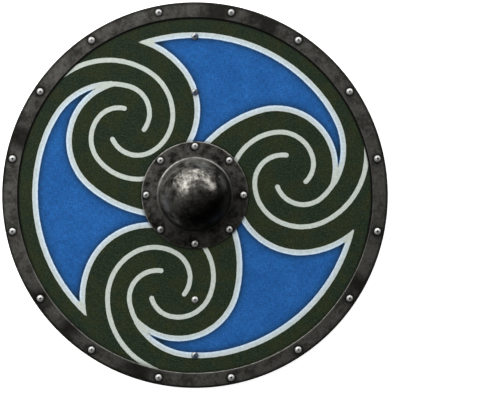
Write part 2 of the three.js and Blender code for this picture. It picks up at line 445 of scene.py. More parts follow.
front_leaf = rim_grid[..., 2] > rim_front - sheet - fold_inside
inner_share = 1 - smooth_step(rim_inner, fold_r, from_middle(rim_grid))
waver = 1 + edge_waver * inner_share * uneven(rim_grid * [1, 1, 0], 90 * mm, seed=3)
rim_grid[..., :2] *= waver[..., None]
rim_grid[..., 2] += front_leaf * inner_share * leaf_wave * uneven(rim_grid, 36 * mm, seed=4)
cut_edge = bell(from_middle(rim_grid) - rim_inner, 1.2 * mm)
# Painted highlight: the rubbed cut edge is made much brighter on the lower side, where it faces the light.
rim_wear_and_highlight = np.minimum(cut_edge * (0.15 + 1.1 * on_lower_side(rim_grid)), 1)
draw_in(rim_grid, rivets_of("rim"), 0.15 * mm, 8 * mm)
print("the inner edge wavers by mm:", round(np.ptp(from_middle(rim_grid)[0]) / mm, 2))

# %% [markdown]
# Blackened steel is never one tone. Where the patina was laid on thick the rim is nearly black, and where
# hands rubbed it the grey steel shows. We note a few black patches by the bearing at which they sit, in
# degrees, with how far each spreads. The fold is painted darker as shade, and the upper side a little as
# painted shade, and grime and painted shade sit at the rivets' feet. The cut edge is rubbed bright, with a
# painted highlight that is strongest on the lower side, and it shows through the black.

# %% Note the dark patches and the painted shade of the rim
dark_patches = ((67, 4.5), (83, 3.5), (161, 5.0), (213, 3.0), (226, 4.0), (252, 5.0), (331, 4.0))
patch_wobble = 2.1
head_radius = 5.5 * mm
shows_through = 0.7


def round_bearing(grid, middle, spread, wobble=0.0):
    """1 at one bearing from the axis, and fading to both sides of it as a bell curve. The
    bearing, the spread and the wobble are in degrees."""
    bearing = np.degrees(np.arctan2(grid[..., 1], grid[..., 0]))
    away = (bearing - middle + 180) % 360 - 180
    return bell(away + wobble, spread)


def round_heads(grid, nodes, reach):
    """1 at the foot of each rivet's head and fading away from it, as a bell curve."""
    to_feet = [np.abs(away_from(grid, node) - head_radius) for node in nodes]
    return bell(np.min(to_feet, axis=0), reach)


dark = np.zeros(rim_grid.shape[:2])
for middle, spread in dark_patches:
    wobble = patch_wobble * uneven(rim_grid, 30 * mm, seed=middle)
    dark += round_bearing(rim_grid, middle, spread, wobble)
# Painted shade: the rounded fold is darkened, and the upper side a little.
dark += smooth_step(shield_radius - 2.4 * fold, shield_radius - 0.5 * fold, from_middle(rim_grid))
dark += 0.16 * smooth_step(-0.3, 0.9, rim_grid[..., 1] / shield_radius)
# These marks hold rubbed wear with a painted highlight, black patina with painted shade, and grime with
# painted shade at the rivets' feet.
rim_marks = {
    "wear_and_highlight": rim_wear_and_highlight,
    "dark": np.clip(dark, 0, 1) * (1 - shows_through * rim_wear_and_highlight),
    "rivet_dirt_and_shade": round_heads(rim_grid, rivets_of("rim"), 3.4 * mm),
}
rim = piece_from_grid("steel_rim", rim_grid, ring=True, marks=rim_marks)
put_in_place(rim, "rim")
print("dark share of the rim's points:", round((rim_marks["dark"] > 0.5).mean(), 2))

# %% [markdown]
# The boss is the hollow steel dome over the hand. It was raised from a flat sheet, hot, over a
# hollow, and then smoothed with a round-faced hammer, so the dome is covered in shallow
# overlapping marks. It turns out into its flange through a tight fillet, which shows as a
# crisp ring. The profile goes down inside, out under the flange and back over the top.

# %% Draw the boss's profile
boss_sheet = 1.6 * mm
dome_radius = 57 * mm
fillet = 4 * mm
flange_round = 0.5 * mm
boss_around = 432
flange_face = boss_low[2] + boss_sheet
spring = flange_face + fillet
dome_rise = boss_high[2] - spring
inside = fillet + boss_sheet
fillet_r = dome_radius + fillet
flange_end = boss_radius - flange_round

boss_profile = np.vstack([
    arc(0, spring, dome_radius - boss_sheet, dome_rise - boss_sheet, 90, 0, 24),
    arc(fillet_r, spring, inside, inside, 180, 270, 6)[1:],
    line((fillet_r, boss_low[2]), (flange_end, boss_low[2]), 4)[1:],
    arc(flange_end, boss_low[2] + flange_round, flange_round, flange_round, -90, 0, 3),
    arc(flange_end, flange_face - flange_round, flange_round, flange_round, 0, 90, 4),
    line((flange_end, flange_face), (fillet_r, flange_face), 18)[1:],
    arc(fillet_r, spring, fillet, fillet, 270, 180, 12),
    arc(0, spring, dome_radius, dome_rise, 0, 90, 84)[1:],
])
boss_grid = turned_grid(boss_profile, boss_around)
print("dome above the flange in mm:", round((boss_high[2] - flange_face) / mm, 1))

# %% [markdown]
# The hammer marks push the dome's wall in by up to half a millimetre. Both faces of the sheet
# move together, along a line from a point inside the dome. The marks fade out at the fillet,
# which was set sharp with a chisel-like hammer. They are shifted so that hardly any stands
# proud, and the dome stays within its plain size. The flange waves a little, and it is drawn
# in round its rivets as the rim is.

# %% Hammer the dome
dent = 0.18 * mm
mostly_inwards = 1.2
flange_wave = 0.10 * mm
mostly_down = 0.4

on_dome = smooth_step(spring, spring + 9 * mm, boss_grid[..., 2])
blows = uneven(boss_grid, 17 * mm, seed=11) + 0.55 * uneven(boss_grid, 8 * mm, seed=12)
outwards = boss_grid - [0, 0, spring]
outwards /= np.maximum(np.linalg.norm(outwards, axis=-1), 1e-6)[..., None]
boss_grid += outwards * (on_dome * dent * (blows - mostly_inwards))[..., None]
flange_part = smooth_step(dome_radius, fillet_r + 2 * mm, from_middle(boss_grid))
boss_grid[..., 2] += flange_part * flange_wave * (uneven(boss_grid, 30 * mm, seed=13) - mostly_down)
draw_in(boss_grid, rivets_of("boss"), 0.12 * mm, 7 * mm)
print("the hammered dome's top in mm:", round(boss_grid[..., 2].max() / mm, 2))

# %% [markdown]
# The same skin on the boss. It is rubbed off at the flange's edge and along the ring, and over that wear
# both carry a painted highlight: the ring is brightest at the upper left, less so at the upper right, and
# hardly lit at the lower right, and the flange's edge is brighter away from the lower right. A painter
# would brush such marks on by eye. Bells of a distance and of a bearing do the same, and stay in place
# when a size changes.

# %% Note the worn parts and the painted highlights of the boss
bright_band_width = 1.1 * mm
ring_r = dome_radius + 0.45 * fillet


def towards(grid, bearing):
    """How far each point lies from the axis in one direction, in dome radii."""
    turn = np.radians(bearing)
    return (grid[..., 0] * np.cos(turn) + grid[..., 1] * np.sin(turn)) / dome_radius


# Painted highlights: the flange's edge and the ring are made brighter away from the lower right, and the
# ring most at the upper left, over real rubbed wear.
lit_share = smooth_step(-0.6, 0.4, -towards(boss_grid, 305))
highlight_by_bearing = 0.85 * round_bearing(boss_grid, 145, 26) + 0.3 * round_bearing(boss_grid, 42, 24)
edge_wear_and_highlight = bell(from_middle(boss_grid) - boss_radius, bright_band_width) * (0.3 + 0.7 * lit_share)
ring_wear_and_highlight = bell(from_middle(boss_grid) - ring_r, bright_band_width) * (0.1 + 0.35 * lit_share + highlight_by_bearing)
boss_wear_and_highlight = np.maximum(edge_wear_and_highlight, ring_wear_and_highlight)
print("the most worn point:", round(boss_wear_and_highlight.max(), 2))

# %% [markdown]
# The boss is painted darker to the lower right as shade, more so on the dome than on the flange, whose
# skin is dark all round. Hands reach the top of the dome but not its foot, which is sooty and dull, and
# the foot is painted darker still towards the lower right as shade.

# %% Note the black parts and the painted shade of the boss and make it
foot = 1 - smooth_step(spring + 13 * mm, spring + 36 * mm, boss_grid[..., 2])
foot_soot_and_shade = foot * (0.48 + 0.52 * smooth_step(-0.8, 0.05, towards(boss_grid, 295)))
# Painted shade: the dome and the flange are darkened towards the lower right, and the foot more so.
lower_right_shade = smooth_step(-0.1, 0.6, towards(boss_grid, 310))
dome_soot_and_shade = 1.1 * np.maximum(lower_right_shade, foot_soot_and_shade)
flange_skin_and_shade = 0.62 + 0.33 * smooth_step(-0.6, 1.0, towards(boss_grid, 295))
boss_skin_and_shade = dome_soot_and_shade + (flange_skin_and_shade - dome_soot_and_shade) * flange_part
# These marks hold rubbed wear with a painted highlight, dark skin and soot with painted shade to the lower
# right, and grime with painted shade at the rivets' feet.
boss_marks = {
    "wear_and_highlight": boss_wear_and_highlight,
    "dark": boss_skin_and_shade * (1 - shows_through * np.minimum(boss_wear_and_highlight, 1)),
    "dull": foot,
    "sooty": foot * (1 - flange_part),
    "rivet_dirt_and_shade": round_heads(boss_grid, rivets_of("boss"), 2.6 * mm),
}
boss = piece_from_grid("steel_boss", boss_grid, ring=False, marks=boss_marks)
put_in_place(boss, "boss")

# %% [markdown]
# The grip bar is a batten of ash or oak across the back. Where it crosses the hand hole it is
# thinned and rounded for the fingers, and its ends are cut to a soft corner. A box with a
# Bevel modifier would have the same rounding all along. So a section with rounded corners is
# carried along the bar, and its width, rounding and lift change on the way.

# %% Shape the grip bar along its length
hand_width = 27 * mm
taper = 20 * mm
bar_round = 2.5 * mm
hand_round = 6 * mm
corner_round = 10 * mm
end_chamfer = 5 * mm
least_half_width = 0.1 * mm
bar_front = bar_high[2]
bar_half = bar_high[1]
full_width = bar_high[0] - bar_low[0]

corner_steps = corner_round * (1 - np.cos(np.linspace(0, np.pi / 2, 14)))
steps_along = np.linspace(0, bar_half - corner_round, 110)[:-1]
half_along = np.concatenate([steps_along, bar_half - corner_steps[::-1]])
along = np.concatenate([-half_along[:0:-1], half_along])
at_ends = smooth_step(hand_hole - taper, hand_hole, np.abs(along))
to_end = bar_half - np.abs(along)
into_corner = np.clip(corner_round - to_end, 0, None)
corner_cut = corner_round - np.sqrt(corner_round ** 2 - into_corner ** 2)
half_width = (hand_width + (full_width - hand_width) * at_ends) / 2 - corner_cut
rounding = hand_round + (bar_round - hand_round) * at_ends
rounding = np.minimum(rounding, 0.9 * np.maximum(half_width, least_half_width))
lift = np.clip(end_chamfer - to_end, 0, None)
print("bar length in mm:", round(2 * bar_half / mm, 1), "sections:", len(along))

# %% [markdown]
# A rounded rectangle as a formula: each point of the section looks in some direction, and it
# sits at the inner rectangle's corner in that direction plus the rounding. The flat sides
# get points of their own between the corners, because the countersinks need them.

# %% Carry the section along the bar
corner_points = 7
flat_steps = 14


def section_points(half_w, low, high, round_by):
    """Points clockwise as seen from the bar's -Y end: four quarter circles, joined by flat
    sides with evenly spaced points. One row for each place along the bar."""
    inner_x, inner_low, inner_high = half_w - round_by, low + round_by, high - round_by
    quarters = []
    corners = ((1, inner_high, 90), (1, inner_low, 0), (-1, inner_low, -90), (-1, inner_high, -180))
    for side, inner_z, start in corners:
        angle = np.radians(start + np.linspace(0, -90, corner_points))
        x = side * inner_x[:, None] + round_by[:, None] * np.cos(angle)
        z = inner_z[:, None] + round_by[:, None] * np.sin(angle)
        quarters.append(np.stack([x, z], axis=-1))
    share = np.arange(1, flat_steps)[None, :, None] / flat_steps
    outline = []
    for here, there in zip(quarters, quarters[1:] + quarters[:1]):
        flat_side = here[:, -1:] + share * (there[:, :1] - here[:, -1:])
        outline += [here, flat_side]
    return np.concatenate(outline, axis=1)


def shrunk(row):
    """A row with all its points at the row's middle: the pole that closes one end."""
    return np.repeat(row.mean(axis=1, keepdims=True), row.shape[1], axis=1)


section = section_points(half_width, lift, bar_front, rounding)
place_along = np.broadcast_to(along[:, None], section.shape[:2])
bar_grid = np.stack([section[..., 0], place_along, section[..., 1]], axis=-1)
bar_grid = np.concatenate([shrunk(bar_grid[:1]), bar_grid, shrunk(bar_grid[-1:])])
print("points round the bar's section:", bar_grid.shape[1])

# %% [markdown]
# On its back the bar has a shallow countersink round each tail that is hammered flush. The
# mark called held is 1 where the hand closes round the bar, and its wood is darker there.

# %% Sink the tails and make the bar
sink_radius = 6.0 * mm
sink_depth = 0.9 * mm
held_half = 40 * mm
flush_tails = [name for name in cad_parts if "rivet" in name and node_box(name)[0][2] < 1 * mm]

on_back = bar_grid[..., 2] < 2 * mm
for tail in flush_tails:
    sunk = 1 - smooth_step(0.75 * sink_radius, sink_radius, away_from(bar_grid, tail))
    bar_grid[..., 2] += on_back * sink_depth * sunk
held = np.exp(-(bar_grid[..., 1] / held_half) ** 4)
bar = piece_from_grid("wooden_grip_bar", bar_grid, ring=False, marks={"held": held})
put_in_place(bar, "grip_bar")
print("hammered tails let into the bar:", len(flush_tails))

# %% [markdown]
# The rivets. Each has a low round head with a small pit in its middle, where the setting tool
# was centred. On the back a tail is either a flat button or, on the bar, spread flush into
# its countersink. A rivet is a profile carried round its own axis, from the tail's middle up
# the shank and over the head.

# %% Draw a rivet's profile
shank = 2.4 * mm
head_rise = 3.6 * mm
head_foot = 0.5 * mm
head_edge = 0.3 * mm
tail_radius = 4.2 * mm
tail_rise = 1.6 * mm
tail_edge = 0.3 * mm
pit_radius = 1.6 * mm
pit_depth = 1.0 * mm


def tail_points(low, flush):
    """The tail's outline from its middle to the shank: flat and tapering into its countersink,
    or a low button with a rounded edge."""
    if flush:
        flat = [(0, low), (0.7 * tail_radius, low), (tail_radius - tail_edge, low)]
        return flat + [(tail_radius, low + tail_edge), (shank, low + tail_rise + 1 * mm)]
    button = low + tail_rise
    crown = [(0, low), (0.45 * tail_radius, low + 0.05 * mm), (0.8 * tail_radius, low + 0.25 * mm)]
    return crown + [(0.97 * tail_radius, low + 0.8 * mm), (tail_radius, button), (shank, button)]


def rivet_profile(low, high, flush):
    """From the tail's middle out and up the shank, out under the head and over it: the head
    is a part of an ellipse on a short upright foot, down to its pit."""
    seat = high - head_rise
    under = [(shank, seat), (head_radius - head_edge, seat), (head_radius, seat + head_foot / 2)]
    pit_edge = np.degrees(np.arccos(pit_radius / head_radius))
    cap = arc(0, seat + head_foot, head_radius, head_rise - head_foot, 0, pit_edge, 13)
    pit_wall = [(0.85 * pit_radius, high - 0.6 * pit_depth), (0.5 * pit_radius, high - 0.9 * pit_depth)]
    return np.vstack([tail_points(low, flush), under, cap, pit_wall, [(0, high - pit_depth)]])


print("points in a rivet's profile:", len(rivet_profile(0, 14 * mm, False)))

# %% [markdown]
# A rivet's finish needs marks too. Grime and painted shade sit at the foot of the head and in the pit.
# Three of the four heads at the ends of the bar stand on a painted line, and on those all but the upper
# left side is tinted slate as painted shade, which a slate mark says. Whether a head stands on a line is
# read from the pattern itself.

# %% Note the grime and painted shade on a head
def head_marks(node, grid, seat):
    """The first is a smooth step down from the foot, or out from the pit, whichever is more, and stands
    for soiling with painted shade. The second is a painted shade in blue-grey, a smooth step across the
    head towards its lower right, and 0 on a head that stands on no line."""
    clean_from = 2.9 * mm if node.startswith("boss") else 2.2 * mm
    least_dirt_and_shade = 0.2 if node.startswith("boss") else 0.0
    # Grime and painted shade at the foot of the head and in the pit.
    foot_dirt_and_shade = 1 - smooth_step(seat + 0.6 * mm, seat + clean_from, grid[..., 2])
    pit_dirt_and_shade = 1 - smooth_step(pit_radius, 1.4 * pit_radius, from_middle(grid))
    low, high = node_box(node)
    to_line = pattern_marks((low + high)[None, :2] / 2 / mm)["field"][0]
    on_line = node.startswith("grip") and abs(to_line) < field_line
    # Painted shade: on a head that stands on a line, all but the upper left is tinted slate.
    lower_right = (grid[..., 0] - grid[..., 1]) / head_radius
    return {
        "grime_and_shade": np.maximum(np.maximum(foot_dirt_and_shade, pit_dirt_and_shade), least_dirt_and_shade),
        "slate_shade": on_line * smooth_step(-0.9, -0.3, lower_right),
    }


print("kinds of rivet:", {kind: len(rivets_of(kind)) for kind in ("rim", "boss", "grip")})

# %% [markdown]
# They were set by hand, so no two sit at quite the same tilt, and the pit is never quite in
# the middle. Each rivet's place comes from the plain rivet. The mark called chance is one
# number for each rivet, so that some are a little brighter than others.

# %% Set the rivets
rivet_around = 28
tilt_degrees = 1.4
pit_shift = np.array([0.4, -0.4]) * mm
pit_scatter = 0.2 * mm
shift_reach = 4 * mm
set_by_hand = np.random.default_rng(21)


def make_rivet(node):
    """One rivet, leaning about its seat and with its pit off the middle, each by a chance
    amount, then moved to its place."""
    low, high = node_box(node)
    grid = turned_grid(rivet_profile(low[2], high[2], node in flush_tails), rivet_around)
    seat = high[2] - head_rise
    tilt = np.radians(set_by_hand.normal(0, tilt_degrees, 2))
    above = np.clip(grid[..., 2] - seat + head_foot, 0, None)
    grid[..., :2] += above[..., None] * tilt
    grid[..., 2] -= smooth_step(seat, seat + 1 * mm, grid[..., 2]) * (grid[..., :2] @ tilt) / 2
    marks = head_marks(node, grid, seat)
    near_pit = 1 - smooth_step(0, shift_reach, from_middle(grid))
    grid[..., :2] += near_pit[..., None] * (pit_shift + set_by_hand.normal(0, pit_scatter, 2))
    marks["chance"] = np.full(grid.shape[:2], set_by_hand.uniform())
    grid[..., :2] += (low[:2] + high[:2]) / 2
    piece = piece_from_grid("turned_" + node, grid, ring=False, marks=marks)
    put_in_place(piece, node)
    return piece


rivets = [make_rivet(node) for kind in ("boss", "grip", "rim") for node in rivets_of(kind)]
print("rivets:", len(rivets))

# %% [markdown]
# Finishes. Each one is a small graph of nodes that feeds one shader. Pictures could be wrapped
# round the pieces, but a graph stays sharp from any distance and needs no unwrapping. Writing
# it out by hand is long, so a few helpers keep it readable. The first ones start a finish,
# feed a node's sockets, add a node, and turn a colour as a screen shows it into amounts of
# light, which is what a shader works with.

# %% Start a finish and add to it
def new_finish(name):
    """A material with its nodes and its shader, ready for more nodes."""
    finish = bpy.data.materials.new(name)
    finish.use_nodes = True
    return finish, finish.node_tree, finish.node_tree.nodes["Principled BSDF"]


def feed(tree, node, feeds):
    """Gives each named socket of a node a plain value or another node's output."""
    for socket, value in feeds.items():
        if isinstance(value, bpy.types.NodeSocket):
            tree.links.new(value, node.inputs[socket])
        else:
            node.inputs[socket].default_value = value


def add(tree, kind, feeds=None, **settings):
    """One more node, with its settings and what feeds its sockets."""
    node = tree.nodes.new("ShaderNode" + kind)
    for key, value in settings.items():
        setattr(node, key, value)
    feed(tree, node, feeds or {})
    return node


def rgb(red, green, blue):
    """A colour as light amounts, from the three numbers 0 to 255 that a screen shows."""
    share = np.array([red, green, blue]) / 255
    light = np.where(share <= 0.04045, share / 12.92, ((share + 0.055) / 1.055) ** 2.4)
    return (*light, 1.0)


print("middle grey on a screen, as light:", round(rgb(128, 128, 128)[0], 3))

# %% [markdown]
# The other helpers make a cloudy pattern of a given size, read a mark, do arithmetic, and
# turn values into colours and relief. Every pattern is laid out on the piece's own
# coordinates or on its marks, so it stays on the piece wherever that goes.

# %% Clouds, marks and arithmetic
def cloud(tree, size, detail=4.0, rough=0.55, stretch=(1, 1, 1), shift=(0, 0, 0)):
    """A cloudy pattern on the object's own coordinates, 0 to 1, whose patches are about
    size across; stretch draws them out along an axis, and shift gives other clouds."""
    where = add(tree, "TexCoord").outputs["Object"]
    squeeze = [1 / times for times in stretch]
    placed = add(tree, "Mapping", {"Vector": where, "Location": shift, "Scale": squeeze})
    feeds = {"Vector": placed.outputs[0], "Scale": 1 / size, "Detail": detail, "Roughness": rough}
    return add(tree, "TexNoise", feeds).outputs["Fac"]


def mark(tree, name):
    """The value that was kept on the piece's points under this name."""
    return add(tree, "Attribute", attribute_name=name).outputs["Fac"]


def math(tree, operation, first, second=0.0, third=0.0):
    """One sum, product or other step of arithmetic."""
    return add(tree, "Math", {0: first, 1: second, 2: third}, operation=operation).outputs[0]


def ramp(tree, value, low, high, to_low=0.0, to_high=1.0):
    """value goes smoothly from to_low at low to to_high at high."""
    feeds = {"Value": value, "From Min": low, "From Max": high, "To Min": to_low, "To Max": to_high}
    return add(tree, "MapRange", feeds, interpolation_type="SMOOTHSTEP").outputs["Result"]


def mix(tree, share, first, second):
    """Two colours mixed by a share: sockets 0, 6 and 7 of a Mix node that is set to colour."""
    return add(tree, "Mix", {0: share, 6: first, 7: second}, data_type="RGBA").outputs[2]


def bump(tree, height, strength, distance):
    """A height as relief, for the shader's Normal."""
    feeds = {"Height": height, "Strength": strength, "Distance": distance}
    return add(tree, "Bump", feeds).outputs[0]


print("helpers for finishes:", ", ".join(made.__name__ for made in (cloud, mark, math, ramp, mix, bump)))


# %% [markdown]
# The painted linen. Two marks on the board say where the lines run. Their edges waver by a
# few tenths of a millimetre, as a brush does. First we find the share of white and of blue at
# each place, and lay out the cloth: threads drawn out along X and Y for the weave, and clouds
# of three sizes for the uneven paint.

# %% Find where each paint goes
half_field = field_line / 2
half_spiral = spiral_line / 2
brush_wander = 0.9
soft_edge = 0.35
thread = 1.1 * mm
thread_length = 7

face, tree, shader = new_finish("painted_linen")
brush = math(tree, "MULTIPLY_ADD", cloud(tree, 9 * mm, 2.0), brush_wander, -brush_wander / 2)
field_edge = math(tree, "ADD", mark(tree, "field"), brush)
field_gap = math(tree, "ABSOLUTE", field_edge)
spiral_gap = math(tree, "ADD", mark(tree, "spiral"), brush)
on_field_line = ramp(tree, field_gap, half_field - soft_edge, half_field + soft_edge, 1.0, 0.0)
on_spiral = ramp(tree, spiral_gap, half_spiral - soft_edge, half_spiral + soft_edge, 1.0, 0.0)
white_share = math(tree, "MAXIMUM", on_field_line, on_spiral)
blue_share = ramp(tree, field_edge, -half_field - soft_edge, -half_field + soft_edge, 1.0, 0.0)

threads_across = cloud(tree, thread, 1.0, stretch=(thread_length, 1, 1))
threads_along = cloud(tree, thread, 1.0, stretch=(1, thread_length, 1), shift=(3, 1, 0))
weave = math(tree, "ADD", threads_across, threads_along)
patches = cloud(tree, 34 * mm, 5.0)
mottle = cloud(tree, 6 * mm, 6.0, 0.7)
speckle = cloud(tree, 2.2 * mm, 3.0, 0.7, shift=(6, 1, 0))
print("nodes that lay out the paint:", len(tree.nodes))

# %% [markdown]
# The paints themselves. The green goes from cold to warm in large patches and is speckled.
# The blue was shaded darker along the white, which the mark shade says. The white of the
# fields' lines has a cold cast on the blue's side and is thinner along its middle. Where two
# lines meet and no blue is left, it is the warmer white of the spirals.

# %% Mix the paints
cold_green, warm_green = rgb(12, 33, 21), rgb(34, 41, 15)
grey_green, pale_speck = rgb(22, 41, 32), rgb(54, 59, 44)
deep_blue, light_blue = rgb(31, 85, 151), rgb(38, 95, 164)
mottled_blue, shaded_blue = rgb(32, 93, 157), rgb(21, 38, 44)
line_white, cold_white, thin_white = rgb(194, 204, 204), rgb(203, 224, 243), rgb(170, 186, 194)
spiral_white, grey_white = rgb(191, 199, 191), rgb(178, 186, 180)
feather = 2.0
cold_reach = 1.6

green = mix(tree, ramp(tree, patches, 0.38, 0.62), cold_green, warm_green)
green = mix(tree, ramp(tree, mottle, 0.44, 0.64, 0.0, 0.8), green, grey_green)
green = mix(tree, ramp(tree, speckle, 0.38, 0.66, 0.0, 0.8), green, pale_speck)
blue = mix(tree, ramp(tree, patches, 0.35, 0.68), deep_blue, light_blue)
blue = mix(tree, ramp(tree, mottle, 0.42, 0.66, 0.0, 0.8), blue, mottled_blue)
feathered = ramp(tree, field_edge, -half_field - feather, -half_field, 1.0, 0.4)
shade = math(tree, "MULTIPLY", math(tree, "MINIMUM", mark(tree, "shade"), 1.0), feathered)
blue = mix(tree, shade, blue, shaded_blue)
cold = ramp(tree, field_edge, -half_field, cold_reach, 1.0, 0.0)
field_white = mix(tree, cold, line_white, cold_white)
thin_middle = ramp(tree, field_gap, 0.0, field_line / 3, 0.25, 0.0)
field_white = mix(tree, thin_middle, field_white, thin_white)
alone = ramp(tree, mark(tree, "shade"), 1.2, 1.8, 1.0, 0.0)
white = mix(tree, math(tree, "MULTIPLY", on_field_line, alone), spiral_white, field_white)
white = mix(tree, ramp(tree, mottle, 0.35, 0.7, 0.0, 0.22), white, grey_white)
colour = mix(tree, blue_share, green, blue)
colour = mix(tree, white_share, colour, white)
print("nodes with the paints:", len(tree.nodes))

# %% [markdown]
# The paint is darkened round the boss and along the rim by painted shade with some dirt, and most of all
# in a narrow band right beside the rim. That band is a painted shadow of the rim's edge, and it is weaker
# on the lower side. The weave then darkens and lightens everything by up to a quarter, less so on the
# thick white, and the same weave, with the thickness of the white lines, gives the relief.

# %% Darken the paint with painted shade and dirt
shade_and_dirt_colour = rgb(10, 11, 8)
rim_edge = rim_inner / mm
boss_edge = boss_radius / mm
thread_contrast = 0.24

from_centre = mark(tree, "from_centre")
# Painted shade and some dirt along the rim and round the boss, and a painted shadow in a narrow band
# beside the rim, weaker on the lower side.
rim_shade_and_dirt = ramp(tree, from_centre, rim_edge - 7, rim_edge, 0.0, 0.4)
rim_edge_shadow = ramp(tree, from_centre, rim_edge - 4.6, rim_edge - 2.0)
rim_edge_shadow = math(tree, "MULTIPLY", rim_edge_shadow, ramp(tree, mark(tree, "lower_side"), 0.0, 1.0, 1.0, 0.4))
boss_shade_and_dirt = ramp(tree, from_centre, boss_edge, boss_edge + 6, 0.45, 0.0)
shade_and_dirt = math(tree, "MAXIMUM", math(tree, "MAXIMUM", rim_shade_and_dirt, rim_edge_shadow), boss_shade_and_dirt)
colour = mix(tree, shade_and_dirt, colour, shade_and_dirt_colour)
weave_seen = ramp(tree, white_share, 0.0, 1.0, 1.0, 0.45)
thread_tone = ramp(tree, weave, 0.75, 1.25, -thread_contrast, thread_contrast)
thread_tone = math(tree, "MULTIPLY_ADD", thread_tone, weave_seen, 1.0)
relief = math(tree, "MULTIPLY_ADD", white_share, 0.5, math(tree, "MULTIPLY", weave, 0.5))
feed(tree, shader, {
    "Base Color": add(tree, "HueSaturation", {"Color": colour, "Value": thread_tone}).outputs[0],
    "Roughness": ramp(tree, mottle, 0.3, 0.7, 0.62, 0.80),
    "Specular IOR Level": 0.08,
    "Normal": bump(tree, relief, 0.5, 0.25 * mm),
})
print("nodes in the painted linen:", len(tree.nodes))

# %% [markdown]
# Bare oiled wood, for the back of the board and the grip bar. The rings of the tree become
# long lines along the grain, because a wave texture is drawn out along Y. A saw-toothed wave
# suits it: each ring darkens slowly and ends sharply. The board is glued up from planks, so
# the place is shifted by a step for each plank, and every plank has its own rings.

# %% Rings of the wood
along_grain = 0.05


def plank_rings(tree, where, number, ring):
    """A saw-toothed wave across X, about ring wide, bent by noise, stretched along Y, and
    shifted by a step for each plank."""
    drift = math(tree, "MULTIPLY", cloud(tree, 50 * mm, 2.0, stretch=(1, 9, 1)), 90 * mm)
    shifted = math(tree, "MULTIPLY_ADD", number, 0.31, drift)
    step = add(tree, "CombineXYZ", {"X": shifted, "Y": number}).outputs[0]
    own = add(tree, "VectorMath", {0: where, 1: step}, operation="ADD").outputs[0]
    drawn_out = add(tree, "Mapping", {"Vector": own, "Scale": (1, along_grain, 1)}).outputs[0]
    wave = {"Vector": drawn_out, "Scale": np.pi / 10 / ring, "Distortion": 9.0}
    wave.update({"Detail": 3.0, "Detail Scale": 0.35})
    return add(tree, "TexWave", wave, bands_direction="X", wave_profile="SAW").outputs["Fac"]


print("rings are drawn out along the grain, times:", round(1 / along_grain))

# %% [markdown]
# The rest of the wood. Fine streaks and short dark pores lie along the grain, each plank has
# its own tone, the joints are thin dark lines, and the oil has left stains. The pores and
# joints are hollow in the relief.

# %% Oiled wood
pore_brown = rgb(78, 52, 30)
joint_brown = rgb(38, 25, 15)
stain_brown = rgb(84, 56, 32)
hand_brown = rgb(88, 58, 34)


def oiled_wood(name, light_tone, dark_tone, ring, plank, worn_mark=None):
    """Wood whose rings are about ring wide and run along Y, in planks that are plank wide."""
    wood, tree, shader = new_finish(name)
    where = add(tree, "TexCoord").outputs["Object"]
    across = add(tree, "SeparateXYZ", {"Vector": where}).outputs["X"]
    counted = math(tree, "MULTIPLY_ADD", across, 1 / plank, 0.5)
    number = math(tree, "FLOOR", counted)
    rings = plank_rings(tree, where, number, ring)
    streaks = cloud(tree, 0.8 * ring, 4.0, 0.6, stretch=(1, 40, 1), shift=(2, 0, 1))
    pores = cloud(tree, 0.7 * mm, 2.0, stretch=(1, 22, 1), shift=(5, 3, 0))
    tone = math(tree, "MULTIPLY_ADD", rings, 0.35, math(tree, "MULTIPLY", streaks, 0.7))
    colour = mix(tree, ramp(tree, tone, 0.15, 0.85), light_tone, dark_tone)
    plank_tone = add(tree, "TexWhiteNoise", {"W": number}, noise_dimensions="1D").outputs["Value"]
    colour = mix(tree, math(tree, "MULTIPLY", plank_tone, 0.4), colour, dark_tone)
    colour = mix(tree, ramp(tree, pores, 0.58, 0.72, 0.0, 0.5), colour, pore_brown)
    from_joint = math(tree, "PINGPONG", counted, 0.5)
    joint = ramp(tree, from_joint, 0.2 * mm / plank, 0.7 * mm / plank, 1.0, 0.0)
    colour = mix(tree, math(tree, "MULTIPLY", joint, 0.85), colour, joint_brown)
    stains = cloud(tree, 70 * mm, 4.0)
    colour = mix(tree, ramp(tree, stains, 0.5, 0.75, 0.0, 0.3), colour, stain_brown)
    if worn_mark:
        handled = math(tree, "MULTIPLY", mark(tree, worn_mark), 0.45)
        colour = mix(tree, handled, colour, hand_brown)
    hollow = math(tree, "ADD", math(tree, "MULTIPLY", pores, 0.7), joint)
    grooves = math(tree, "SUBTRACT", math(tree, "MULTIPLY", rings, 0.08), hollow)
    feed(tree, shader, {
        "Base Color": colour,
        "Roughness": ramp(tree, streaks, 0.3, 0.7, 0.42, 0.62),
        "Normal": bump(tree, grooves, 0.45, 0.4 * mm),
    })
    print(name, "nodes:", len(tree.nodes))
    return wood


# %% [markdown]
# The board has two finishes. A face of the mesh takes the wood when its middle lies below the
# rounded front edge, and the paint otherwise. The grip bar is one piece of wood, so its plank
# is made wider than the bar.

# %% Give the board and the bar their wood
plank_width = 88 * mm
one_plank = 1.0
board_light, board_dark = rgb(184, 146, 102), rgb(132, 94, 58)
bar_light, bar_dark = rgb(170, 128, 84), rgb(108, 72, 42)

board_wood = oiled_wood("oiled_board", board_light, board_dark, 6 * mm, plank_width)
bar_wood = oiled_wood("oiled_bar", bar_light, bar_dark, 3.5 * mm, one_plank, worn_mark="held")
board.data.materials.append(face)
board.data.materials.append(board_wood)
bar.data.materials.append(bar_wood)

centres = np.zeros(len(board.data.polygons) * 3)
board.data.polygons.foreach_get("center", centres)
behind = centres[2::3] < board_front - 0.5 * edge_round
board.data.polygons.foreach_set("material_index", behind.astype(np.int32))
board.data.update()
print("board faces in bare wood:", int(behind.sum()))

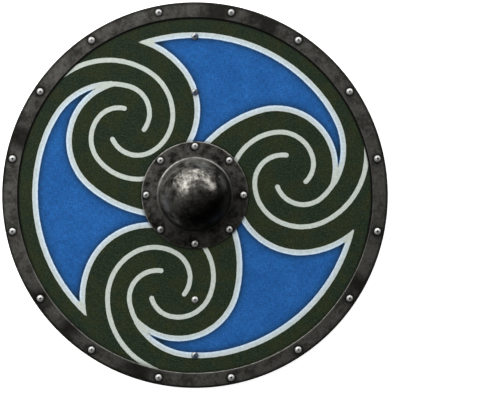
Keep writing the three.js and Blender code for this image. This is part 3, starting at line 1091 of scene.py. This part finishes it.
# %% [markdown]
# Blackened steel, for the rim and the boss. The steel was heated and oiled, which leaves a brown-black
# skin. Patches of it are thinner, small specks of bright metal show through, and edges are rubbed bright
# and carry painted highlights, while painted shade darkens parts of the skin and the rivets' feet. Thin
# skin is also smoother, so the same clouds drive the roughness, and a fine pitting gives the relief. At
# the dome's foot the skin is thick soot, which is rough and hardly metallic. The rim has no such foot, and
# there those marks are 0.

# %% Blackened steel
# The colour of grime and painted shade at the rivets' feet.
foot_dirt_and_shade = rgb(20, 19, 17)
black_share = 0.85


def blackened_steel(name, tones, roughness, grain, relief, specks_seen):
    """Skin over steel. tones go from black to bright metal, roughness from thin skin to
    thick, grain scales the clouds, and specks_seen is how strongly bright specks show."""
    black, dark, grey, bright = tones
    thin_skin, thick_skin = roughness
    steel, tree, shader = new_finish(name)
    clouds = cloud(tree, 26 * mm, 6.0, 0.6)
    scale = cloud(tree, grain * 5 * mm, 6.0, 0.72, shift=(1, 2, 3))
    specks = cloud(tree, grain * 1.7 * mm, 3.0, 0.6, shift=(4, 0, 2))
    rubs = cloud(tree, 6 * mm, 3.0, shift=(0, 5, 1))
    thin = math(tree, "MULTIPLY_ADD", clouds, 0.55, math(tree, "MULTIPLY", scale, 0.45))
    colour = mix(tree, ramp(tree, thin, 0.38, 0.62), dark, grey)
    bright_specks = math(tree, "MULTIPLY", ramp(tree, specks, 0.60, 0.72), ramp(tree, scale, 0.42, 0.6))
    colour = mix(tree, math(tree, "MULTIPLY", bright_specks, specks_seen), colour, bright)
    # The marks bring rubbed wear with painted highlights, black patina with painted shade, and grime with
    # painted shade at the rivets' feet.
    wear_and_highlight = math(tree, "MULTIPLY", mark(tree, "wear_and_highlight"), ramp(tree, rubs, 0.35, 0.6, 0.45, 0.8))
    colour = mix(tree, wear_and_highlight, colour, bright)
    colour = mix(tree, math(tree, "MULTIPLY", mark(tree, "dark"), black_share), colour, black)
    colour = mix(tree, math(tree, "MULTIPLY", mark(tree, "rivet_dirt_and_shade"), black_share), colour, foot_dirt_and_shade)
    rough = ramp(tree, thin, 0.35, 0.65, thick_skin, thin_skin)
    unrubbed = ramp(tree, mark(tree, "wear_and_highlight"), 0.0, 0.5, 1.0, 0.0)
    sooty = math(tree, "MULTIPLY", mark(tree, "sooty"), unrubbed)
    pits = math(tree, "MULTIPLY_ADD", scale, 0.8, math(tree, "MULTIPLY", specks, 0.35))
    feed(tree, shader, {
        "Base Color": colour,
        "Roughness": math(tree, "MULTIPLY_ADD", mark(tree, "dull"), 0.3, rough),
        "Metallic": ramp(tree, sooty, 0.0, 1.0, 0.92, 0.1),
        "Specular IOR Level": 0.1,
        "Normal": bump(tree, pits, relief, 0.6 * mm),
    })
    print(name, "nodes:", len(tree.nodes))
    return steel


# %% [markdown]
# The rim was left rough and its greys lie close together. The boss was smoothed and handled,
# so its skin is glossier, and it goes from nearly black to bright metal.

# %% Blacken the rim and the boss
rim_tones = (rgb(30, 29, 26), rgb(58, 57, 53), rgb(106, 105, 100), rgb(166, 164, 159))
boss_tones = (rgb(12, 12, 9), rgb(34, 33, 29), rgb(140, 138, 132), rgb(214, 212, 206))
rim.data.materials.append(blackened_steel("blackened_rim", rim_tones, (0.40, 0.58), 1.0, 0.6, 0.5))
boss.data.materials.append(blackened_steel("blackened_boss", boss_tones, (0.20, 0.34), 1.6, 0.35, 0.45))
print("finishes so far:", len(bpy.data.materials))

# %% [markdown]
# The rivets are bright steel, wiped clean on top, with grime and painted shade at the foot and in the pit.
# On three heads the lower right is tinted slate as painted shade, duller than the steel and hardly
# metallic.

# %% Bright rivets
dull_steel, bright_steel = rgb(192, 193, 191), rgb(214, 215, 213)
tarnished, dirt_and_shade_grey, slate_shade_colour = rgb(146, 146, 142), rgb(28, 29, 30), rgb(36, 56, 76)

rivet_steel, tree, shader = new_finish("bright_rivet")
scratches = cloud(tree, 0.8 * mm, 3.0, 0.6)
tarnish = cloud(tree, 2.5 * mm, 4.0, 0.6, shift=(2, 2, 2))
clean = mix(tree, mark(tree, "chance"), dull_steel, bright_steel)
clean = mix(tree, ramp(tree, tarnish, 0.45, 0.7, 0.0, 0.6), clean, tarnished)
# Grime and painted shade at the foot and in the pit.
dirt_and_shade_share = math(tree, "MULTIPLY", mark(tree, "grime_and_shade"), ramp(tree, tarnish, 0.3, 0.6, 0.55, 1.0))
# Painted shade: slate on the lower right of three heads.
painted = math(tree, "MULTIPLY", mark(tree, "slate_shade"), ramp(tree, tarnish, 0.3, 0.6, 1.0, 0.8))
rough = ramp(tree, scratches, 0.3, 0.7, 0.34, 0.50)
feed(tree, shader, {
    "Base Color": mix(tree, painted, mix(tree, dirt_and_shade_share, clean, dirt_and_shade_grey), slate_shade_colour),
    "Roughness": math(tree, "MULTIPLY_ADD", painted, 0.35, rough),
    "Metallic": ramp(tree, painted, 0.0, 1.0, 0.7, 0.1),
    "Specular IOR Level": 0.15,
    "Normal": bump(tree, scratches, 0.3, 0.2 * mm),
})
for rivet in rivets:
    rivet.data.materials.append(rivet_steel)
print("nodes in the bright rivets:", len(tree.nodes))

# %% [markdown]
# The floor. The shield lies on a plain white floor. A plain white sheet would be grey in the
# picture where less light falls, so the floor shines a little to the camera, which also
# softens shadows. It is dull in reflections, as if black cloth lay round the shield, because
# steel looks black only where it has something dark to reflect.

# %% Floor
floor_half = 30.0
floor_bright, floor_dull = (0.86, 0.86, 0.86, 1), (0.12, 0.12, 0.12, 1)
floor_glow = 0.85

floor_corners = [(-1, -1), (1, -1), (1, 1), (-1, 1)]
floor_points = [(x * floor_half, y * floor_half, 0) for x, y in floor_corners]
floor_mesh = bpy.data.meshes.new("floor")
floor_mesh.from_pydata(floor_points, [], [(0, 1, 2, 3)])
floor = new_object("floor", floor_mesh)
floor_finish, tree, shader = new_finish("white_floor")
ray = add(tree, "LightPath").outputs
feed(tree, shader, {
    "Base Color": mix(tree, ray["Is Glossy Ray"], floor_bright, floor_dull),
    "Roughness": 0.9,
    "Specular IOR Level": 0.1,
    "Emission Color": (1, 1, 1, 1),
    "Emission Strength": math(tree, "MULTIPLY", ray["Is Camera Ray"], floor_glow),
})
floor_mesh.materials.append(floor_finish)
print("floor width in m:", 2 * floor_half)

# %% [markdown]
# The lights. Soft panels stand round the shield from the right over the top to the left, so
# the dome shows a bright arch and stays dark towards the camera and below. The one on the
# left stands nearest, which makes that side a little lighter. It and the weak one below fill
# the paint and the rim, and they are kept out of reflections, because two more bright spots
# would show on the dome.

# %% Soft panels
def soft_panel(name, bearing, off_axis, away, size, brightness, reflected=True):
    """A rectangular light that faces the shield. bearing is its direction in the plane of the
    face, off_axis its angle from straight above, and brightness what the eye would see."""
    turn, lean = np.radians(bearing), np.radians(off_axis)
    direction = np.array([np.cos(turn) * np.sin(lean), np.sin(turn) * np.sin(lean), np.cos(lean)])
    panel = bpy.data.lights.new(name, "AREA")
    panel.shape = "RECTANGLE"
    panel.size, panel.size_y = size
    panel.energy = brightness * np.pi * size[0] * size[1]
    lamp = new_object(name, panel)
    lamp.location = direction * away
    lamp.rotation_euler = (lean, 0, turn + np.pi / 2)
    lamp.visible_camera = False
    lamp.visible_glossy = reflected
    print(name, "power in watts:", round(panel.energy, 1))


soft_panel("top_panel", 98, 60, 4.0, (8.0, 2.7), 2.65)
soft_panel("right_panel", 36, 56, 4.0, (2.6, 1.6), 2.7)
soft_panel("upper_left_panel", 138, 33, 2.4, (1.4, 0.9), 4.2)
soft_panel("left_panel", 186, 62, 2.0, (2.4, 1.4), 1.95, reflected=False)
soft_panel("low_panel", 300, 50, 3.0, (2.4, 1.6), 0.5, reflected=False)

# %% [markdown]
# The sky stands for the rest of the room. It is white to the camera. For everything else it
# is nearly dark, and a little lighter to the upper left, so that the steel has a soft
# gradient to reflect. The view transform is the plain one, so that the paints keep the
# tones that we gave them.

# %% Sky
lighter_side = (-0.5, 0.85, 0.15)
dark_room, light_room, seen_white = 0.03, 0.40, 0.95

sky = bpy.data.worlds.new("studio")
sky.use_nodes = True
bpy.context.scene.world = sky
tree = sky.node_tree
direction = add(tree, "TexCoord").outputs["Generated"]
lighter = add(tree, "VectorMath", {0: direction, 1: lighter_side}, operation="DOT_PRODUCT")
room = ramp(tree, lighter.outputs["Value"], 0.0, 1.0, dark_room, light_room)
seen = math(tree, "MULTIPLY", add(tree, "LightPath").outputs["Is Camera Ray"], seen_white)
strength = math(tree, "MAXIMUM", room, seen)
feed(tree, tree.nodes["Background"], {"Color": (1, 1, 1, 1), "Strength": strength})
bpy.context.scene.view_settings.view_transform = "Standard"
print("brightness of the room:", dark_room, "to", light_room)
